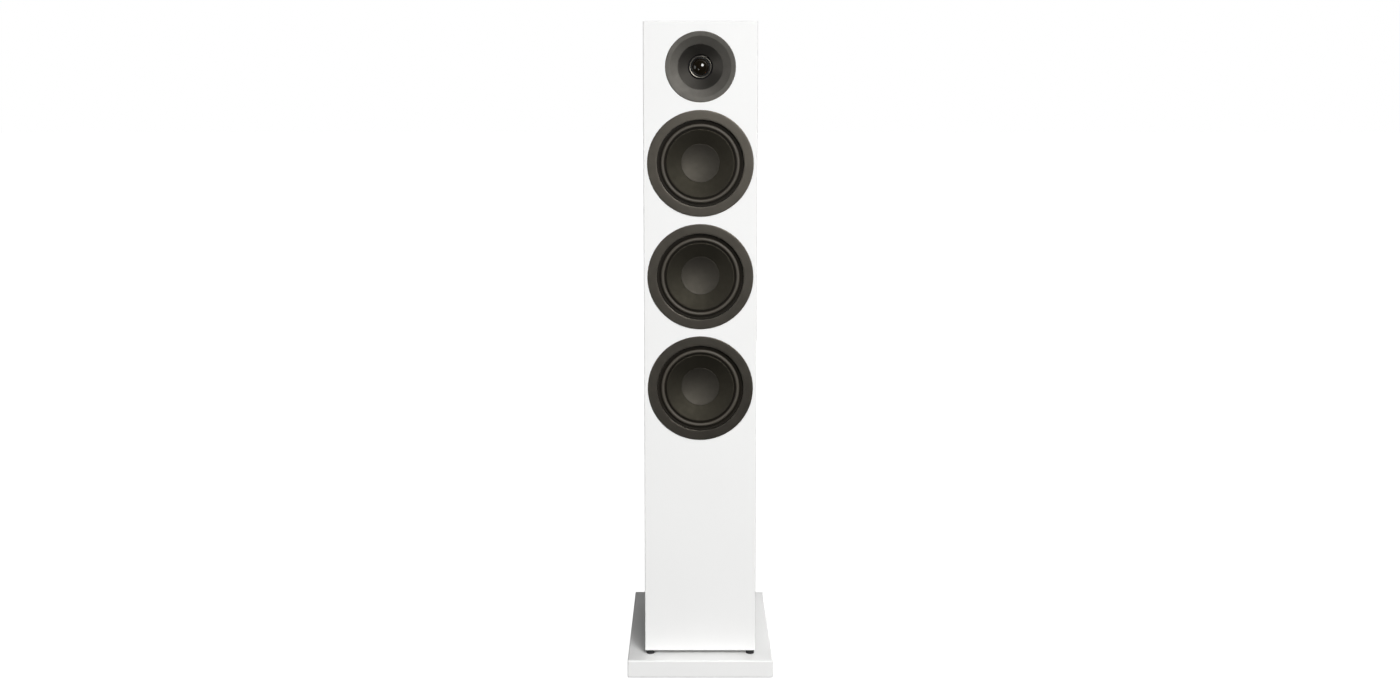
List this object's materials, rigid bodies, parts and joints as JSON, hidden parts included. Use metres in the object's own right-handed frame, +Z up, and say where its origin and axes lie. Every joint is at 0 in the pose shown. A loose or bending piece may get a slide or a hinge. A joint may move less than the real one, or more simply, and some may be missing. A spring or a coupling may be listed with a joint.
{
  "type": "floorstanding speaker",
  "caption": "Narrow white lacquered column loudspeaker on a plinth, with a waveguide tweeter above flush round woofers with dark cones and dished caps.",
  "frame": {"origin": "on the floor, at the middle of the plinth's footprint", "axes": "+Z up, -Y the listening side that the drivers face, +X to the right seen from the listener"},
  "size_m": [0.248, 0.358, 1.119],
  "materials": {
    "white_lacquer": "white satin lacquer on fibreboard",
    "raw_fibreboard": "bare medium density fibreboard",
    "wadding": "polyester wadding",
    "spacer_rubber": "matte black rubber",
    "foot_rubber": "matte black rubber",
    "zinc_steel": "zinc plated steel",
    "brass_insert": "plain brass",
    "ferrite": "bare ferrite",
    "black_screw": "black oxide steel",
    "gasket_foam": "closed cell foam",
    "tinned_blade": "tinned brass",
    "trim_plastic": "satin moulded plastic, dark grey",
    "cast_frame": "black coated die casting",
    "surround_rubber": "smooth butyl rubber",
    "cone_paper": "coated pulp, satin near black",
    "cap_plastic": "pressed cap, satin near black",
    "copper_coil": "enamelled copper wire",
    "spider_cloth": "resin dipped woven cotton",
    "waveguide_plastic": "fine textured moulded plastic, grey",
    "clamp_metal": "turned bright ring",
    "tweeter_cloth": "coated cloth",
    "dome_metal": "black anodised, glossy",
    "port_plastic": "moulded plastic, black",
    "gold_brass": "gold plated brass",
    "knob_red": "moulded red plastic",
    "knob_black": "moulded black plastic",
    "circuit_board": "fibre board, solder resist",
    "capacitor_can": "dipped film capacitor",
    "resistor_ceramic": "cement resistor",
    "nylon": "natural nylon",
    "wire_jacket": "soft vinyl jacket on stranded copper"
  },
  "bodies": {
    "cabinet": {"board_standoffs": "nylon", "bottom_panel": "white_lacquer", "crossover_board": "circuit_board", "crossover_capacitors": "capacitor_can", "crossover_coils": "copper_coil", "crossover_resistors": "resistor_ceramic", "damping_pads": "wadding", "driver_gaskets": "gasket_foam", "driver_magnets": "ferrite", "driver_screws": "black_screw", "driver_terminals": "tinned_blade", "driver_top_plates": "zinc_steel", "driver_yokes": "zinc_steel", "front_baffle": "white_lacquer", "hookup_leads": "wire_jacket", "left_side_panel": "white_lacquer", "plinth": "white_lacquer", "plinth_bolts": "zinc_steel", "plinth_spacers": "spacer_rubber", "post_studs": "gold_brass", "rear_panel": "white_lacquer", "reflex_port": "port_plastic", "right_side_panel": "white_lacquer", "rubber_feet": "foot_rubber", "terminal_plate": "port_plastic", "terminal_screws": "black_screw", "threaded_inserts": "brass_insert", "top_panel": "white_lacquer", "tweeter_clamp_ring": "clamp_metal", "tweeter_faceplate": "waveguide_plastic", "tweeter_flare": "waveguide_plastic", "tweeter_surround": "tweeter_cloth", "window_braces": "raw_fibreboard", "woofer_basket_1": "cast_frame", "woofer_basket_2": "cast_frame", "woofer_basket_3": "cast_frame", "woofer_spider_1": "spider_cloth", "woofer_spider_2": "spider_cloth", "woofer_spider_3": "spider_cloth", "woofer_surround_1": "surround_rubber", "woofer_surround_2": "surround_rubber", "woofer_surround_3": "surround_rubber", "woofer_trim_ring_1": "trim_plastic", "woofer_trim_ring_2": "trim_plastic", "woofer_trim_ring_3": "trim_plastic"},
    "cone_1": {"woofer_cone_1": "cone_paper", "woofer_dust_cap_1": "cap_plastic", "woofer_voice_coil_1": "copper_coil"},
    "cone_2": {"woofer_cone_2": "cone_paper", "woofer_dust_cap_2": "cap_plastic", "woofer_voice_coil_2": "copper_coil"},
    "cone_3": {"woofer_cone_3": "cone_paper", "woofer_dust_cap_3": "cap_plastic", "woofer_voice_coil_3": "copper_coil"},
    "dome": {"tweeter_dome": "dome_metal", "tweeter_voice_coil": "copper_coil"},
    "red_clamp": {"clamp_washer_red": "gold_brass"},
    "red_knob": {"knob_red": "knob_red"},
    "black_clamp": {"clamp_washer_black": "gold_brass"},
    "black_knob": {"knob_black": "knob_black"}
  },
  "joints": [
    {"name": "cone_1_stroke", "type": "slide", "parent": "cabinet", "child": "cone_1", "axis": [0, -1, 0], "range_m": [-0.006, 0.006], "stiffness_N_per_m": 1000, "deforming": ["woofer_surround_1", "woofer_spider_1"]},
    {"name": "cone_2_stroke", "type": "slide", "parent": "cabinet", "child": "cone_2", "axis": [0, -1, 0], "range_m": [-0.006, 0.006], "stiffness_N_per_m": 1000, "deforming": ["woofer_surround_2", "woofer_spider_2"]},
    {"name": "cone_3_stroke", "type": "slide", "parent": "cabinet", "child": "cone_3", "axis": [0, -1, 0], "range_m": [-0.006, 0.006], "stiffness_N_per_m": 1000, "deforming": ["woofer_surround_3", "woofer_spider_3"]},
    {"name": "dome_stroke", "type": "slide", "parent": "cabinet", "child": "dome", "axis": [0, -1, 0], "range_m": [-0.0005, 0.0005], "stiffness_N_per_m": 200, "deforming": ["tweeter_surround"]},
    {"name": "red_clamp_slide", "type": "slide", "parent": "cabinet", "child": "red_clamp", "axis": [0, 1, 0], "range_m": [0, 0.005]},
    {"name": "red_knob_turn", "type": "hinge", "parent": "red_clamp", "child": "red_knob", "pos_m": [0.016, 0.165, 0.18], "axis": [0, 1, 0], "range_deg": [0, 1440]},
    {"name": "black_clamp_slide", "type": "slide", "parent": "cabinet", "child": "black_clamp", "axis": [0, 1, 0], "range_m": [0, 0.005]},
    {"name": "black_knob_turn", "type": "hinge", "parent": "black_clamp", "child": "black_knob", "pos_m": [-0.016, 0.165, 0.18], "axis": [0, 1, 0], "range_deg": [0, 1440]}
  ],
  "couplings": [
    {"joint": "red_knob_turn", "follows": "red_clamp_slide", "rad_per_m": 5026.5},
    {"joint": "black_knob_turn", "follows": "black_clamp_slide", "rad_per_m": 5026.5}
  ]
}
